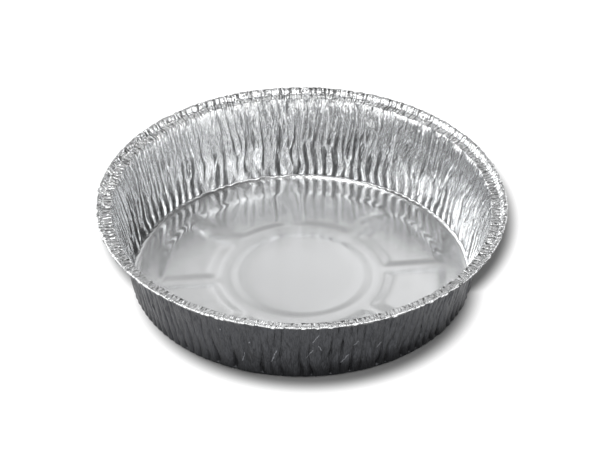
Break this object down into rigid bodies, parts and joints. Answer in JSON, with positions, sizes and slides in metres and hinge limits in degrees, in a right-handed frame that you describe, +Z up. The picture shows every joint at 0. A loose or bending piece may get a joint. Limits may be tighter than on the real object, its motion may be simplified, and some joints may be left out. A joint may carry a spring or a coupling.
{
  "type": "foil pie tin",
  "caption": "Round deep foil pie tin pressed from one thin sheet, with a gathered flared wall, a crimped ledge and curled rim, and a stamped panelled base",
  "frame": {"origin": "centre of the underside of the base, on the surface that the tin stands on", "axes": "+Z up along the tin's round axis, -Y towards the camera of the picture, +X to its right"},
  "size_m": [0.2298, 0.2299, 0.05],
  "materials": {
    "foil": "bright rolled foil, satin on the base and creased on the wall"
  },
  "bodies": {
    "root": {"foil_tin": "foil"}
  },
  "joints": []
}
